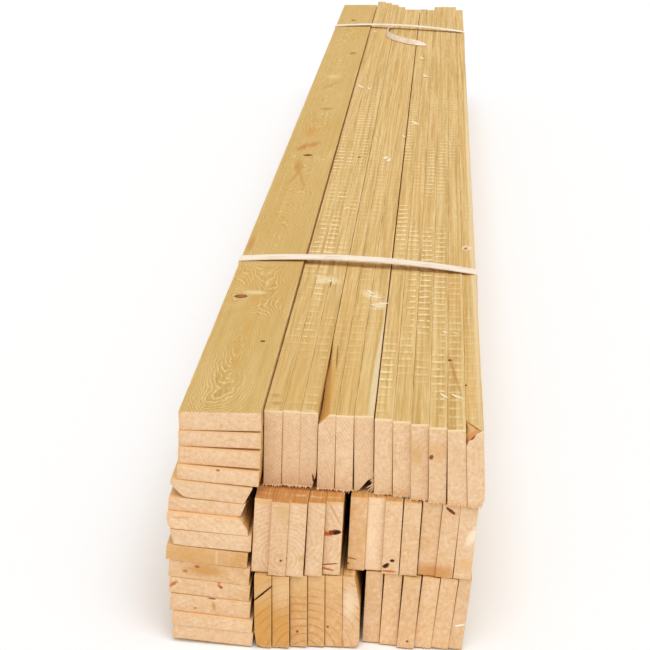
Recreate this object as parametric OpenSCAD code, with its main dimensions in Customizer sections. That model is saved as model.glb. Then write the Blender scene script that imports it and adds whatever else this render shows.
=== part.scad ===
// Bundle of sawn wood lath held by two plastic straps.
// X runs across the bundle, Y along it with the near ends at low Y, Z is up.
// One column of laths lies flat at the left, three tiers stand on edge at the right.
// The straps' undersides lie on Z = 0.

/* [Laths] */
// sawn length of a lath
lath_length = 1219.2; // [600:0.1:2440]
// wide face of a lath
lath_width = 38.1; // [32:0.1:50]
// narrow face of a lath
lath_thickness = 7.94; // [6:0.01:10]

/* [Packing] */
// space between laths that stand on edge
side_gap = 0.25; // [0.1:0.05:1]
// space between a lying lath and the next
rest_gap = 0.08; // [0.04:0.01:0.5]
// space between one tier and the next
tier_gap = 0.1; // [0.06:0.01:1]
// space between the flat column and the tiers
column_gap = 0.5; // [0.3:0.1:3]
// widest gap inside a tier
wide_gap = 3; // [0:0.1:5]
// farthest that a lying lath or a tier is pushed to the left
side_push = 4; // [0:0.1:4]
// largest lean of a lath that stands on edge, in degrees
lean_limit = 5.5; // [0:0.1:8]
// largest tilt of a lying lath, in degrees
tilt_limit = 4; // [0:0.1:5]
// farthest that a near end stands in or out
front_stagger = 10; // [0:0.5:20]
// farthest that a far end stands in or out
back_stagger = 36; // [0:0.5:50]

/* [Splits] */
// width of a split in an end
split_width = 0.5; // [0.2:0.1:1]
// depth of a split along the lath
split_depth = 20; // [5:1:60]

/* [Straps] */
// width of the strap band
strap_width = 9; // [6:0.5:16]
// thickness of the strap band
strap_thickness = 0.6; // [0.4:0.05:1.2]
// space between the strap and the laths
strap_clearance = 0.15; // [0.1:0.05:0.5]
// rise of the strap above the straight line over the top
strap_bow = 4; // [3:0.1:5.5]
// distance from the near end to the front strap
front_strap_place = 231; // [100:1:400]
// distance from the near end to the back strap
back_strap_place = 1068; // [500:1:1120]
// reach of the loose tail across the bundle
tail_spread = 40; // [20:1:60]
// reach of the loose tail along the bundle
tail_reach = 100; // [60:1:150]
// width of the loose tail, which is torn along its length
tail_width = 5.5; // [5:0.1:6]
// distance from the left side of the column to the tail
tail_place = 58; // [45:1:70]

/* [Hidden] */
// part to draw
// extra depth of a cut past a surface
overrun = 1;
// finest step round a strap's corner, in degrees
corner_step = 20;
// smallest turn that counts as a corner of the strap's path
turn_limit = 0.0001;

// lying laths, from the top down: push to the left
flat_push_shares = [0, 0, 0, 0.05, 0.8, 0.9, 1, 0.6, 1, 0.7, 0.6, 0.45, 0.1, 0];
// lying laths: thickness as sawn
flat_thick_shares = [1.15, 0.94, 1.01, 0.89, 1.04, 0.83, 1.04, 1.01, 0.95, 1.12, 1.05, 1.12, 0.83, 0.91];
// lying laths: tilt, right side up
flat_tilt_shares = [
    0.85, 0.55, 0.05, -0.4, -0.6, -0.45, -0.4, -0.3, -0.6, -0.75, -0.7, -0.6, -0.55, -0.6];
// lying laths: near ends, in is positive
flat_front_shares = [
    0.15, 0.05, -0.1, -0.3, -0.4, -0.45, -0.65, -0.65, -0.7, -0.65, -0.65, -0.7, -0.85, -0.8];
// lying laths: far ends, out is positive
flat_back_shares = [0, 0.3, -0.2, 0.1, 0.4, -0.3, 0, 0.2, -0.4, 0.3, 0.1, -0.1, 0.2, 0];
// tiers on edge, top, middle and bottom: lean, top to the right
edge_lean_shares = [
    [-0.15, -0.2, -0.2, -0.25, -0.35, -0.55, -0.5, -0.6, -0.6, -0.6, -0.9, -1],
    [0.15, 0.15, 0.15, 0.05, 0, -0.05, -0.05, -0.05, 0, 0.25, 0.3, 0.2],
    [-0.35, -0.4, -0.45, -0.45, -0.45, -0.4, -0.05, 0.1, 0.3, 0.5, 0.6, 0.7]
];
// tiers on edge: added gap before each lath
edge_gap_shares = [
    [0, 0, 0, 0, 0, 0, 0.4, 0.12, 0, 0, 0.1, 0],
    [0, 0, 0, 0, 0, 0.9, 0, 0, 0.1, 0.1, 0, 0],
    [0, 0, 0, 0, 0, 0, 0.35, 0.1, 0, 0, 0, 0]
];
// tiers on edge: near ends, in is positive
edge_front_shares = [
    [0.9, 1, 1, 0.9, 0.9, 1, 0.8, 0.7, 0.5, 0.3, 0.2, 0.15],
    [-0.5, -0.75, -0.7, -0.5, -0.25, 0.4, 0.5, 0.25, 0.25, 0.4, 0.3, 0.3],
    [-0.8, -0.7, -0.5, -0.35, -0.25, -0.2, 0.45, 0.35, 0.15, 0.3, 0.35, 0.4]
];
// tiers on edge: far ends, out is positive
edge_back_shares = [
    [1, 0.8, 0.55, 0.1, -0.35, -0.3, -0.1, -0.2, 0.55, 0.65, 0.7, 0.15],
    [0.4, 0.5, 0.1, -0.3, -0.1, 0.6, 0.5, 0, -0.4, -0.2, 0.3, 0.2],
    [0.1, 0.3, 0.2, -0.2, 0, 0.4, -0.5, -0.3, 0.1, 0.5, 0.2, -0.1]
];
// push of each tier to the left
tier_push_shares = [0, 0.6, 0.15];

// wane of the lying laths: lath, right side, upper side, then its reach in width, thickness and length
flat_wane_shares = [
    [4, 0, 0, 0.18, 0.75, 0.35],
    [4, 1, 0, 0.09, 0.95, 0.5],
    [5, 1, 0, 0.12, 2.1, 0.6],
    [6, 1, 1, 0.11, 0.65, 0.3],
    [6, 0, 0, 0.05, 0.35, 0.4],
    [7, 0, 0, 0.05, 0.9, 0.5]
];
// wane and broken corners of the tiers: tier, lath, upper side, right side, then reach as above
edge_wane_shares = [
    [0, 2, 0, 1, 0.18, 0.25, 0.02],
    [0, 3, 1, 0, 0.145, 0.65, 0.085],
    [0, 5, 0, 1, 0.2, 0.75, 0.3],
    [0, 11, 1, 0, 0.16, 0.85, 0.01],
    [0, 11, 0, 1, 0.12, 0.2, 0.5],
    [2, 0, 0, 0, 0.06, 0.3, 0.3],
    [2, 5, 1, 1, 0.4, 0.33, 0.5],
    [2, 5, 0, 1, 0.06, 0.3, 0.3],
    [2, 11, 1, 1, 3, 0.28, 3]
];
// splits of the tiers: tier, lath, height of the split at the left and at the right face
edge_split_shares = [[2, 0, 0.66, 0.86]];

// loose tail of the back strap, from under the strap to its tip:
// place across and along, lean from flat to upright
tail_across_shares = [-0.02, -0.02, -0.03, -0.04, 0, 0.15, 0.35, 0.55, 0.78, 1];
tail_along_shares = [-0.02, 0.06, 0.2, 0.43, 0.6, 0.73, 0.84, 0.92, 0.97, 0.99];
tail_lean_shares = [0, 0, 0.65, 0.9, 0.85, 0.8, 0.75, 0.75, 0.6, 0.1];
// steps of the strap's bow over the top
bow_shares = [0.1, 0.2, 0.3, 0.4, 0.5, 0.6, 0.7, 0.8, 0.9];

flat_count = len(flat_push_shares);
tier_count = len(edge_lean_shares);
edge_count = len(edge_lean_shares[0]);

// level of the lowest laths above the floor
base_level = strap_thickness + strap_clearance;

// thickness, tilt, place and level of lying lath i
function thick(i) = lath_thickness * flat_thick_shares[i];
function tilt(i) = tilt_limit * flat_tilt_shares[i];
function flat_place(i) = -side_push * flat_push_shares[i];
// level at which lath i clears the one under it, at place x and over its whole width
function clear_level(i, under, x) = under + thick(i + 1) / cos(tilt(i + 1))
    + (x - flat_place(i + 1)) * tan(tilt(i + 1)) - (x - flat_place(i)) * tan(tilt(i));
function next_level(i, under) = rest_gap + max(
    clear_level(i, under, min(flat_place(i), flat_place(i + 1))),
    clear_level(i, under, max(flat_place(i), flat_place(i + 1)) + lath_width));
// levels from the floor up
function stacked(i, levels) = i < 0 ? levels
    : stacked(i - 1, concat(levels, [next_level(i, levels[len(levels) - 1])]));
levels_up = stacked(flat_count - 2, [base_level + lath_width * max(0, -sin(tilt(flat_count - 1)))]);
function flat_level(i) = levels_up[flat_count - 1 - i];
// corner of lying lath i, u across its width and s through its thickness
function flat_corner(i, u, s) = [
    flat_place(i) + u * cos(tilt(i)) - s * sin(tilt(i)),
    flat_level(i) + u * sin(tilt(i)) + s * cos(tilt(i))];

// lean, place and level of lath i of tier k
function lean(k, i) = lean_limit * edge_lean_shares[k][i];
function tier_start(k) = lath_width + column_gap - side_push * tier_push_shares[k]
    + lath_width * max(0, -sin(lean(k, 0)));
function step_right(k, i) = lath_thickness / cos(lean(k, i - 1)) + side_gap
    + wide_gap * edge_gap_shares[k][i] + lath_width * max(0, tan(lean(k, i - 1)) - tan(lean(k, i)));
function placed(k, i, places) = i == edge_count ? places
    : placed(k, i + 1, concat(places, [places[i - 1] + step_right(k, i)]));
edge_places = [for (k = [0 : tier_count - 1]) placed(k, 1, [tier_start(k)])];
function edge_place(k, i) = edge_places[k][i];
tier_heights = [for (k = [0 : tier_count - 1]) max([for (i = [0 : edge_count - 1])
    lath_width * cos(lean(k, i)) + lath_thickness * abs(sin(lean(k, i)))])];
function tier_level(k) = k == tier_count - 1 ? base_level
    : tier_level(k + 1) + tier_heights[k + 1] + tier_gap;
function edge_level(k, i) = tier_level(k) + lath_thickness * max(0, sin(lean(k, i)));
// corner of lath i of tier k, u up its width and s through its thickness
function edge_corner(k, i, u, s) = [
    edge_place(k, i) + s * cos(lean(k, i)) + u * sin(lean(k, i)),
    edge_level(k, i) - s * sin(lean(k, i)) + u * cos(lean(k, i))];

// near and far ends along the bundle, before it is centred
function flat_front(i) = front_stagger * flat_front_shares[i];
function flat_back(i) = lath_length + back_stagger * flat_back_shares[i];
function edge_front(k, i) = front_stagger * edge_front_shares[k][i];
function edge_back(k, i) = lath_length + back_stagger * edge_back_shares[k][i];

// corners of every lath in the section across the bundle
section_corners = concat(
    [for (i = [0 : flat_count - 1]) for (u = [0, lath_width]) for (s = [0, thick(i)]) flat_corner(i, u, s)],
    [for (k = [0 : tier_count - 1]) for (i = [0 : edge_count - 1])
        for (u = [0, lath_width]) for (s = [0, lath_thickness]) edge_corner(k, i, u, s)]);
top_left = flat_corner(0, 0, thick(0));
top_right = edge_corner(0, edge_count - 1, lath_width, lath_thickness);
// points of the bow over the top
bow_points = [for (q = bow_shares)
    top_left + q * (top_right - top_left) + [0, strap_bow * 4 * q * (1 - q)]];
strap_points = concat(section_corners, bow_points);

// tight path round a set of points, one corner after the other
function turn(a, b, c) = (b[0] - a[0]) * (c[1] - a[1]) - (b[1] - a[1]) * (c[0] - a[0]);
function outer_of(a, b, c) = norm(c - a) < turn_limit ? b : norm(b - a) < turn_limit ? c
    : abs(turn(a, b, c)) < turn_limit ? (norm(c - a) > norm(b - a) ? c : b)
    : turn(a, b, c) < 0 ? c : b;
function next_corner(points, a, best, i) = i == len(points) ? best
    : next_corner(points, a, outer_of(a, best, points[i]), i + 1);
// lowest of the points farthest to the left, where the path starts
function first_of(a, b) = b[0] < a[0] - turn_limit ? b : b[0] > a[0] + turn_limit ? a : b[1] < a[1] ? b : a;
function start_corner(points, best, i) = i == len(points) ? best
    : start_corner(points, first_of(best, points[i]), i + 1);
function wrap(points, path) = let (n = next_corner(points, path[len(path) - 1], points[0], 0))
    norm(n - path[0]) < turn_limit ? path : wrap(points, concat(path, [n]));
strap_path = wrap(strap_points, [start_corner(strap_points, strap_points[0], 0)]);

// the path grown outward, with round corners
function facing(a, b) = atan2(a[0] - b[0], b[1] - a[1]);
function turned(a) = a < 0 ? a + 360 : a;
function grown(path, size) = [for (i = [0 : len(path) - 1]) let (
        before = path[(i + len(path) - 1) % len(path)],
        after = path[(i + 1) % len(path)],
        first = facing(before, path[i]),
        sweep = turned(facing(path[i], after) - first),
        steps = max(1, ceil(sweep / corner_step)))
    for (n = [0 : steps]) path[i] + size * [cos(first + sweep * n / steps), sin(first + sweep * n / steps)]];

strap_outside = grown(strap_path, strap_clearance + strap_thickness);
strap_inside = grown(strap_path, strap_clearance);
outside_left = min([for (p = strap_outside) p[0]]);
outside_right = max([for (p = strap_outside) p[0]]);
near_end = min(concat([for (i = [0 : flat_count - 1]) flat_front(i)],
    [for (k = [0 : tier_count - 1]) for (i = [0 : edge_count - 1]) edge_front(k, i)]));
far_end = max(concat([for (i = [0 : flat_count - 1]) flat_back(i)],
    [for (k = [0 : tier_count - 1]) for (i = [0 : edge_count - 1]) edge_back(k, i)]));
// shift that puts the origin under the middle
centre_shift = [-(outside_left + outside_right) / 2, -(near_end + far_end) / 2, 0];

// level of the strap's middle over the top, above place x
function crossing(a, b, x) = min(a[0], b[0]) > x || max(a[0], b[0]) < x || a[0] == b[0] ? 0
    : a[1] + (b[1] - a[1]) * (x - a[0]) / (b[0] - a[0]);
function strap_level(x) = strap_clearance + strap_thickness / 2 + max([for (i = [0 : len(strap_path) - 1])
    crossing(strap_path[i], strap_path[(i + 1) % len(strap_path)], x)]);
// level of the tier tops, then the tail's level and lean where its upper edge meets the strap above it
tail_level = tier_level(0) + tier_heights[0] + rest_gap;
tuck_level = max(tail_level, strap_level(tail_place) - tail_width);
tail_tuck = asin(min(1, (strap_level(tail_place) - tuck_level) / tail_width));

// corner that a wane takes off, legs a and b in the section and c along the lath
module wane_corner(a, b, c) {
    e = overrun;
    polyhedron(
        points = [[-e, -e, -e], [a * (1 + e / b + e / c), -e, -e],
            [-e, c * (1 + e / a + e / b), -e], [-e, -e, b * (1 + e / a + e / c)]],
        faces = [[0, 1, 2], [0, 2, 3], [0, 3, 1], [1, 3, 2]]);
}

// one lath lying flat, near end at Y = 0, width along X
module flat_lath(length, thickness, wanes) {
    color("BurlyWood") difference() {
        cube([lath_width, length, thickness]);
        for (w = wanes) {
            translate([w[1] * lath_width, 0, w[2] * thickness])
                mirror([w[1], 0, 0]) mirror([0, 0, w[2]])
                    wane_corner(w[3] * lath_width, w[4] * thickness, w[5] * lath_length);
        }
    }
}

// one lath on edge, near end at Y = 0, width along Z
module edge_lath(length, wanes, splits) {
    color("BurlyWood") difference() {
        cube([lath_thickness, length, lath_width]);
        for (w = wanes) {
            translate([w[3] * lath_thickness, 0, w[2] * lath_width])
                mirror([w[3], 0, 0]) mirror([0, 0, w[2]])
                    wane_corner(w[5] * lath_thickness, w[4] * lath_width, w[6] * lath_length);
        }
        for (p = splits) {
            translate([0, split_depth, p[2] * lath_width])
                rotate([0, -atan2((p[3] - p[2]) * lath_width, lath_thickness), 0])
                    translate([-lath_thickness, -split_depth - overrun, -split_width / 2])
                        cube([lath_thickness * 3, split_depth + overrun, split_width]);
        }
    }
}

// closed band round the bundle, its middle at Y = 0
module strap_loop() {
    color("MistyRose") translate([0, strap_width / 2, 0]) rotate([90, 0, 0]) linear_extrude(strap_width) {
        difference() {
            polygon(strap_outside);
            polygon(strap_inside);
        }
    }
}

// loose end of the back strap, a ribbon that comes from under the strap and stands on the laths
tail_line = [for (i = [0 : len(tail_across_shares) - 1]) [
    tail_place + tail_spread * tail_across_shares[i],
    -tail_reach * tail_along_shares[i],
    i < 2 ? tuck_level : tail_level]];
function tail_heading(i) = let (
        a = tail_line[max(0, i - 1)],
        b = tail_line[min(len(tail_line) - 1, i + 1)],
        d = [b[0] - a[0], b[1] - a[1]])
    d / norm(d);
function tail_lean(i) = i < 2 ? tail_tuck : 90 * tail_lean_shares[i];
// directions across the ribbon and through it
function tail_across(i) = let (d = tail_heading(i))
    [-d[1] * cos(tail_lean(i)), d[0] * cos(tail_lean(i)), sin(tail_lean(i))];
function tail_through(i) = let (d = tail_heading(i))
    [d[1] * sin(tail_lean(i)), -d[0] * sin(tail_lean(i)), cos(tail_lean(i))];
tail_points = [for (i = [0 : len(tail_line) - 1]) for (c = [[0, 0], [1, 0], [1, 1], [0, 1]])
    tail_line[i] + c[0] * tail_width * tail_across(i) + c[1] * strap_thickness * tail_through(i)];
tail_last = len(tail_points) - 4;
tail_faces = concat(
    [[0, 1, 2], [0, 2, 3]],
    [[tail_last, tail_last + 2, tail_last + 1], [tail_last, tail_last + 3, tail_last + 2]],
    [for (i = [0 : len(tail_line) - 2]) for (c = [0 : 3]) let (a = 4 * i + c, b = 4 * i + (c + 1) % 4)
        for (f = [[a, a + 4, b + 4], [a, b + 4, b]]) f]);

module strap_tail() {
    color("MistyRose") polyhedron(points = tail_points, faces = tail_faces);
}

function numbered(name, i) = str(name, i < 9 ? "0" : "", i + 1);
tier_names = ["lath_top_", "lath_mid_", "lath_bottom_"];

translate(centre_shift) {
    for (i = [0 : flat_count - 1]) {
        translate([flat_place(i), flat_front(i), flat_level(i)]) rotate([0, -tilt(i), 0])
                flat_lath(flat_back(i) - flat_front(i), thick(i),
                    [for (w = flat_wane_shares) if (w[0] == i) w]);
    }
    for (k = [0 : tier_count - 1]) {
        for (i = [0 : edge_count - 1]) {
            translate([edge_place(k, i), edge_front(k, i), edge_level(k, i)]) rotate([0, lean(k, i), 0])
                    edge_lath(edge_back(k, i) - edge_front(k, i),
                        [for (w = edge_wane_shares) if (w[0] == k && w[1] == i) w],
                        [for (p = edge_split_shares) if (p[0] == k && p[1] == i) p]);
        }
    }
    translate([0, front_strap_place, 0]) strap_loop();  // strap_front
    translate([0, back_strap_place, 0]) union() {  // strap_back
        strap_loop();
        strap_tail();
    }
}
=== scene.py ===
import bpy
import bmesh
import math
import random
import numpy as np
from mathutils import Matrix, Vector
from mathutils.bvhtree import BVHTree


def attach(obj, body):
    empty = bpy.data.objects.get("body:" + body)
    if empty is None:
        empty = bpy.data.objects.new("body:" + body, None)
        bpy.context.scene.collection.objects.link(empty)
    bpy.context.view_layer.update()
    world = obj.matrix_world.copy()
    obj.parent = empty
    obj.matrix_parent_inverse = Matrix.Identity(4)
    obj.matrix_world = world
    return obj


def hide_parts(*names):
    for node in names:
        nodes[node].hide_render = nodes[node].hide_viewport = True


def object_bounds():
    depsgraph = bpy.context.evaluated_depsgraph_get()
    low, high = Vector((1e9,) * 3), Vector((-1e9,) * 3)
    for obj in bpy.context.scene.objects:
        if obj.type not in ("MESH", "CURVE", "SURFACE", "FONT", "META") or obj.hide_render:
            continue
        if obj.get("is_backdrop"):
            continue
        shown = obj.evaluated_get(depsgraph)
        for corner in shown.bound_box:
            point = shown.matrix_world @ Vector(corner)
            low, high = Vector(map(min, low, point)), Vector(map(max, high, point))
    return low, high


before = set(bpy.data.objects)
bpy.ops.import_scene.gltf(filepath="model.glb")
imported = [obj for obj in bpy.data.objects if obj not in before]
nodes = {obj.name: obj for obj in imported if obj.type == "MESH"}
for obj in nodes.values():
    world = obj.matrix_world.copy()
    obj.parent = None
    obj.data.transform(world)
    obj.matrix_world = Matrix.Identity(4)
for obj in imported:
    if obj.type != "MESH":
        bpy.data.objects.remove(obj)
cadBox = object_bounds()
mm, fullTurn = 0.001, 2 * math.pi
print("frame loaded with", len(nodes), "nodes")


# small helpers for node trees, shader and geometry alike
def colour(r, g, b):   # screen colour from 0 to 255 as a linear one
    return tuple(((c / 255 + 0.055) / 1.055) ** 2.4 for c in (r, g, b)) + (1.0,)


# an output in a node tree that takes plain arithmetic, each sign as a node
class Wire:
    def __init__(self, socket):
        self.socket, self.tree = socket, socket.id_data

    __add__ = lambda self, other: signed("ADD", self, other)
    __radd__ = lambda self, other: signed("ADD", other, self)
    __sub__ = lambda self, other: signed("SUBTRACT", self, other)
    __rsub__ = lambda self, other: signed("SUBTRACT", other, self)
    __mul__ = lambda self, other: signed("MULTIPLY", self, other)
    __truediv__ = lambda self, other: signed("DIVIDE", self, other)
    __rtruediv__ = lambda self, other: signed("DIVIDE", other, self)
    __gt__ = lambda self, other: calc("GREATER_THAN", self, other)
    __lt__ = lambda self, other: calc("LESS_THAN", self, other)
    __abs__ = lambda self: calc("ABSOLUTE", self)


class Wires:   # the outputs of one node
    def __init__(self, sockets):
        self.sockets = sockets

    def __getitem__(self, key):
        return Wire(self.sockets[key])

    def __iter__(self):
        return (Wire(socket) for socket in self.sockets)


class Placed:
    def __init__(self, node):
        self.inputs, self.outputs = node.inputs, Wires(node.outputs)


def feed(socket, value):
    if isinstance(value, Wire):
        value.tree.links.new(value.socket, socket)
    else:
        socket.default_value = value


def put(tree, kind, values=None, **settings):
    node = tree.nodes.new(kind)
    for name, value in settings.items():
        setattr(node, name, value)
    for name, value in (values or {}).items():
        feed(node.inputs[name], value)
    return Placed(node)


def treeOf(*values):
    return next(value.tree for value in values if isinstance(value, Wire))


def isVector(value):
    return value.socket.type in ("VECTOR", "RGBA") if isinstance(value, Wire) else isinstance(value, tuple)


def signed(operation, first, second):
    if isVector(first):
        return vec(operation if isVector(second) else "SCALE", first, second)
    return calc(operation, first, second)


def calc(operation, *values):
    node = put(treeOf(*values), "ShaderNodeMath", operation=operation)
    for socket, value in zip(node.inputs, values):
        feed(socket, value)
    return node.outputs[0]


def vec(operation, *values):
    node = put(treeOf(*values), "ShaderNodeVectorMath", operation=operation)
    for place, value in enumerate(values):
        feed(node.inputs["Scale" if operation == "SCALE" and place else place], value)
    return node.outputs["Value" if operation in ("LENGTH", "DOT_PRODUCT") else "Vector"]


def apart(value):
    return put(value.tree, "ShaderNodeSeparateXYZ", {"Vector": value}).outputs


def joined(x, y, z):
    return put(treeOf(x, y, z), "ShaderNodeCombineXYZ", {"X": x, "Y": y, "Z": z}).outputs[0]


def ease(value, low, high, start=0.0, end=1.0):   # smooth step from low to high
    return put(value.tree, "ShaderNodeMapRange", {"Value": value, "From Min": low, "From Max": high,
               "To Min": start, "To Max": end}, interpolation_type="SMOOTHSTEP").outputs["Result"]


def mixed(amount, first, second, mode="MIX"):
    node = put(treeOf(amount, first, second), "ShaderNodeMix", data_type="RGBA", blend_type=mode)
    for place, value in ((0, amount), (6, first), (7, second)):   # its inputs for colours
        feed(node.inputs[place], value)
    return node.outputs[2]


def tinted(base, tint, amount):
    return mixed(amount, base, colour(*tint))


def layered(base, look, **amounts):   # tints of this look over one another, each by its amount
    for name, amount in amounts.items():
        base = tinted(base, look[name], amount)
    return base


def noise(at, detail=2.0, rough=0.5, output=0):
    return put(at.tree, "ShaderNodeTexNoise", {"Vector": at, "Scale": 1.0, "Detail": detail,
               "Roughness": rough}).outputs[output]


# a group's inputs, each with its starting value or the name of its kind, and its outputs
def newGroup(name, inputs, outputs):
    tree = bpy.data.node_groups.new(name, "%sNodeTree" % ("Geometry" if "Geometry" in outputs else "Shader"))
    kinds = {float: "Float", int: "Int", tuple: "Vector"}
    for label, value in inputs.items():
        socketKind = "NodeSocket" + (value if isinstance(value, str) else kinds[type(value)])
        socket = tree.interface.new_socket(name=label, in_out="INPUT", socket_type=socketKind)
        if not isinstance(value, str):
            socket.default_value = value
    for label in outputs:
        socketKind = "NodeSocketGeometry" if label == "Geometry" else "NodeSocketFloat"
        tree.interface.new_socket(name=label, in_out="OUTPUT", socket_type=socketKind)
    return tree, Wires(tree.nodes.new("NodeGroupInput").outputs), tree.nodes.new("NodeGroupOutput").inputs


def newObject(name, data):
    thing = bpy.data.objects.new(name, data)
    bpy.context.scene.collection.objects.link(thing)
    return thing


def evaluated(thing):   # its mesh with the modifiers carried out
    bpy.context.view_layer.update()
    graph = bpy.context.evaluated_depsgraph_get()
    return bpy.data.meshes.new_from_object(thing.evaluated_get(graph))


# camera where the photograph was taken from, distances in millimetres
viewPoint = {"spot": (32.40, -1275.25, 404.25), "turn": -3.25, "dip": 20.30, "roll": 2.88,
             "focal": 1572.3, "imageWidth": 650.0, "sensor": 36.0}


def makeCamera(s):
    turn, dip, roll = (math.radians(s[k]) for k in ("turn", "dip", "roll"))
    ahead = Vector((math.sin(turn) * math.cos(dip), math.cos(turn) * math.cos(dip), -math.sin(dip)))
    level = Vector((math.cos(turn), -math.sin(turn), 0))
    upright = level.cross(ahead)
    side = level * math.cos(roll) + upright * math.sin(roll)
    top = upright * math.cos(roll) - level * math.sin(roll)
    data = bpy.data.cameras.new("photoCamera")
    data.sensor_fit = "HORIZONTAL"
    data.sensor_width = s["sensor"]
    data.lens = s["focal"] / s["imageWidth"] * s["sensor"]
    data.clip_start = 0.01
    camera = newObject("photoCamera", data)
    camera.matrix_world = Matrix.Translation(Vector(s["spot"]) * mm) @ \
        Matrix((side, top, -ahead)).transposed().to_4x4()
    bpy.context.scene.camera = camera


makeCamera(viewPoint)
print("camera set")


# growth rings round a pith line that runs along the lath, distances in millimetres
def makeRingGroup():
    tree, given, out = newGroup("growthRings", {
        "Point": "Vector", "Pith": "Vector", "Pitch": 2.0, "Wander": 1.5, "Fade": 0.5, "Thin": 0.0}, ["Late"])
    slow = given["Point"] * (0.035, 0.0045, 0.035)
    drift = noise(slow, output=1) - (0.5, 0.5, 0.5)
    fromPith = given["Point"] - given["Pith"] + drift * (given["Wander"] * 2.0)
    x, _, z = apart(fromPith)
    radius = vec("LENGTH", joined(x, 0.0, z))
    uneven = noise(given["Point"] * 0.06, 1.0) * 0.5
    turn = calc("FRACT", radius / given["Pitch"] + uneven)
    late = ease(turn, given["Thin"] * 0.4 + 0.3, 0.87) * ease(turn, 0.88, 1.0, 1.0, 0.0)
    patchy = noise(given["Point"] * 0.07) + (0.5 - given["Fade"])
    shown = ease(patchy, 0.36, 0.62)
    feed(out["Late"], late * shown)
    return tree


# grain that runs along the lath: broad streaks and fine fibres
def makeGrainGroup():
    tree, given, out = newGroup("longGrain", {
        "Point": "Vector", "Seed": 0.0}, ["Streak", "Fibre", "Cloud"])
    shifted = given["Point"] + joined(0.0, given["Seed"] * 900.0, 0.0)
    feed(out["Streak"], noise(shifted * (0.55, 0.006, 0.55), 3.0, 0.6))
    feed(out["Fibre"], noise(shifted * (2.6, 0.05, 2.6), 3.0, 0.7))
    feed(out["Cloud"], noise(shifted * (0.03, 0.009, 0.03), 3.0, 0.55))
    return tree


# marks that the saw left across the lath, in patches: a painted highlight on each crest and a painted shadow
# just after it
def makeSawGroup():
    tree, given, out = newGroup("sawMarks", {
        "Point": "Vector", "Pitch": 9.7, "Phase": 0.0, "Seed": 0.0, "Strength": 1.0}, ["Crest", "Trough Shadow"])
    x, y, _ = apart(given["Point"])
    skew = noise(given["Point"] * (0.2, 0.03, 0.2), 1.0) * 0.25
    wave = y / given["Pitch"] + given["Phase"] + skew
    swing = calc("COSINE", wave * fullTurn)
    crest = ease(swing, 0.6, 0.95)
    broken = ease(noise(given["Point"] * (0.5, 0.3, 0.5)), 0.3, 0.55)
    patchAt = joined(x * 0.05, y * 0.012, given["Seed"])
    patch = ease(noise(patchAt), 0.4, 0.62)
    reach = ease(y, 40.0, 260.0, 1.0, 0.12)
    amount = patch * (reach * given["Strength"])
    feed(out["Crest"], crest * broken * amount)
    after = calc("COSINE", (wave + 0.24) * fullTurn)
    feed(out["Trough Shadow"], ease(after, 0.5, 0.97) * amount)
    return tree


# arches of a flat sawn face: rings round a pith that lies under the face at a changing depth
def makeArchGroup():
    tree, given, out = newGroup("archFigure", {
        "Point": "Vector", "Axis": -53.0, "Pitch": 1.5, "Knot A": "Vector",
        "Knot B": "Vector"}, ["Pale", "Dark", "Band", "Shown"])
    x, y, _ = apart(given["Point"])
    flat = given["Point"] * (1.0, 1.0, 0.0)
    sway = noise(flat * (0.0, 0.009, 0.0), 1.0)
    wave = calc("SINE", y * (fullTurn / 210) + 2.4)
    lesser = calc("SINE", y * (fullTurn / 83) + 0.6)
    depth = wave * 8.0 + 13.0 + lesser * 2.4
    off = x - given["Axis"] - (sway * 18.0 - 9.0)
    radius = vec("LENGTH", joined(off, depth, 0.0))
    for scale, reach in (((0.09, 0.045, 0.0), 2.6), ((0.5, 0.16, 0.0), 0.5)):   # uneven growth
        ripple = noise(flat * scale, 1.0)
        radius = radius + (ripple * (2 * reach) - reach)
    for knot in ("Knot A", "Knot B"):   # the grain bends round a knot
        away = (flat - given[knot]) * (0.09, 0.04, 0.0)
        near = calc("EXPONENT", vec("DOT_PRODUCT", away, away) * -1.0)
        radius = radius + near * 9.0
    turn = calc("FRACT", radius / given["Pitch"])
    feed(out["Pale"], ease(turn, 0.0, 0.14) * ease(turn, 0.22, 0.4, 1.0, 0.0))
    feed(out["Dark"], ease(turn, 0.45, 0.85) * ease(turn, 0.9, 1.0, 1.0, 0.0))
    slow = joined(radius * 0.16, y * 0.008, 0.0)
    feed(out["Band"], noise(slow))
    patchy = ease(noise(flat * (0.03, 0.011, 0.0)), 0.38, 0.6, 0.4, 1.0)
    core = ease(abs(x - given["Axis"]), 7.0, 19.0, 1.0, 0.5)
    broken = ease(noise(flat * (0.55, 0.2, 0.0)), 0.38, 0.6, 0.25, 1.0)
    feed(out["Shown"], patchy * core * broken)
    return tree


# one knot, stain, crack or chip: an oval mask with a ragged rim
def makeBlotGroup():
    tree, given, out = newGroup("blot", {
        "Point": "Vector", "Spot": "Vector", "Reach": (1.0, 1.0, 1.0), "Turn": "Vector", "Ragged": 0.3,
        "Soft": 0.3}, ["Mask"])
    turned = put(tree, "ShaderNodeVectorRotate", {"Vector": given["Point"] - given["Spot"],
                                                  "Rotation": given["Turn"]},
                 rotation_type="EULER_XYZ").outputs[0]
    far = vec("LENGTH", turned / given["Reach"])
    torn = (noise(given["Point"] * 0.9, 3.0, 0.6) - 0.5) * (given["Ragged"] * 3.0)
    rim = far + torn
    feed(out["Mask"], ease(rim, 1.0 - given["Soft"], 1.0 + given["Soft"], 1.0, 0.0))
    return tree


ringGroup, grainGroup, sawGroup = makeRingGroup(), makeGrainGroup(), makeSawGroup()
archGroup, blotGroup = makeArchGroup(), makeBlotGroup()


def use(group, **values):
    return put(treeOf(*values.values()), "ShaderNodeGroup", values, node_tree=group).outputs


def attribute(tree, name):
    node = put(tree, "ShaderNodeAttribute", attribute_type="GEOMETRY", attribute_name=name)
    return apart(node.outputs["Vector"])


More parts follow.
